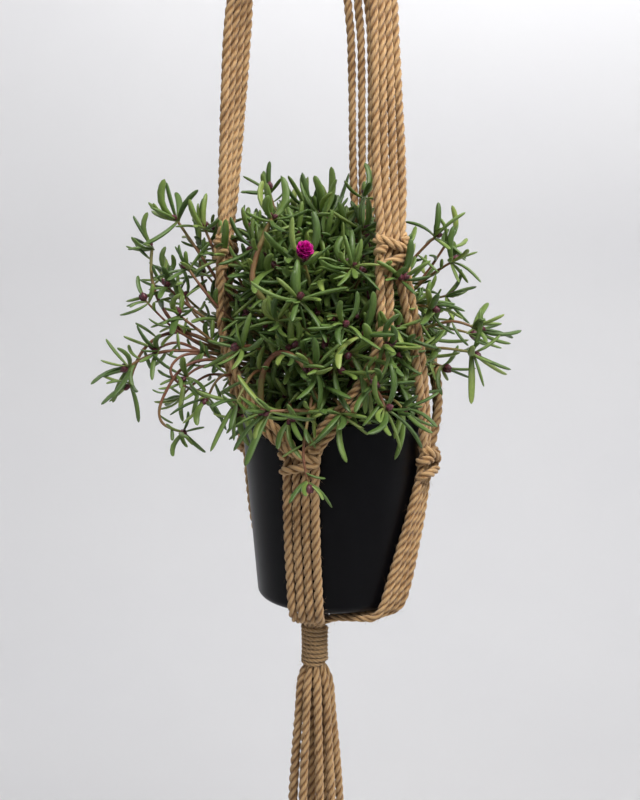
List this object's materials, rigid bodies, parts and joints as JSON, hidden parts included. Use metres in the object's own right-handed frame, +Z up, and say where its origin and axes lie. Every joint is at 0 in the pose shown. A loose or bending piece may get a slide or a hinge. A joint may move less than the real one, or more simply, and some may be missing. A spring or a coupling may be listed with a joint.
{
  "type": "hanging macrame planter",
  "caption": "Hanging planter: a tapered plastic pot with a moss rose plant, cradled by knotted jute strands that gather under it into a tassel and hang from a ring.",
  "frame": {"origin": "inside the top of the steel hanging ring, where a ceiling hook bears; the planter hangs below it", "axes": "+Z up along the hanging direction, +X to the right of the face with the front rope group, +Y to the rear"},
  "size_m": [0.279, 0.231, 0.78],
  "materials": {
    "jute_rope": "three-ply twisted jute rope, tan, slightly hairy",
    "jute_twine": "fine jute twine wound in close turns",
    "ring_steel": "satin steel round wire",
    "ring_wood": "oiled beech",
    "pot_plastic": "semi-gloss black moulded polypropylene",
    "potting_mix": "dark crumbly peat and bark potting mix",
    "leaves": "fleshy green leaves with a waxy sheen",
    "stems": "brown-red to olive succulent stems",
    "petals": "magenta closed petals"
  },
  "bodies": {
    "ring": {"hanging_ring": "ring_steel"},
    "hanger": {"bridle_cord_front": "jute_rope", "bridle_cord_left": "jute_rope", "bridle_cord_right": "jute_rope", "bridle_hitch_front": "jute_rope", "bridle_hitch_left": "jute_rope", "bridle_hitch_right": "jute_rope", "flower": "petals", "foliage_crown": "leaves", "foliage_front": "leaves", "foliage_lower_left": "leaves", "foliage_rear": "leaves", "foliage_right": "leaves", "foliage_upper_left": "leaves", "gathering_bundle": "jute_rope", "gathering_wrap": "jute_twine", "hanging_loop": "jute_rope", "larks_heads_left": "jute_rope", "larks_heads_rear": "jute_rope", "larks_heads_right": "jute_rope", "lower_knot_back": "jute_rope", "lower_knot_front": "jute_rope", "lower_knot_side": "jute_rope", "main_stems": "stems", "pot": "pot_plastic", "potting_mix": "potting_mix", "spreader_ring": "ring_wood", "strand_left_back_a": "jute_rope", "strand_left_back_b": "jute_rope", "strand_left_front_a": "jute_rope", "strand_left_front_b": "jute_rope", "strand_rear_back_a": "jute_rope", "strand_rear_back_b": "jute_rope", "strand_rear_side_a": "jute_rope", "strand_rear_side_b": "jute_rope", "strand_right_front_a": "jute_rope", "strand_right_front_b": "jute_rope", "strand_right_side_a": "jute_rope", "strand_right_side_b": "jute_rope", "top_wrap": "jute_twine", "upper_knot_left": "jute_rope", "upper_knot_rear": "jute_rope", "upper_knot_right": "jute_rope"},
    "tassel": {"tassel_head": "jute_rope", "tassel_strand_01": "jute_rope", "tassel_strand_02": "jute_rope", "tassel_strand_03": "jute_rope", "tassel_strand_04": "jute_rope", "tassel_strand_05": "jute_rope", "tassel_strand_06": "jute_rope", "tassel_strand_07": "jute_rope", "tassel_strand_08": "jute_rope", "tassel_strand_09": "jute_rope", "tassel_strand_10": "jute_rope", "tassel_strand_11": "jute_rope", "tassel_strand_12": "jute_rope"}
  },
  "joints": [
    {"name": "hanger_swing", "type": "hinge", "parent": "ring", "child": "hanger", "pos_m": [0, 0, -0.0425], "axis": [1, 0, 0], "range_deg": [-15, 15]},
    {"name": "tassel_swing", "type": "hinge", "parent": "hanger", "child": "tassel", "pos_m": [-0.0085, -0.022, -0.632], "axis": [0, 1, 0], "range_deg": [-20, 20]}
  ]
}
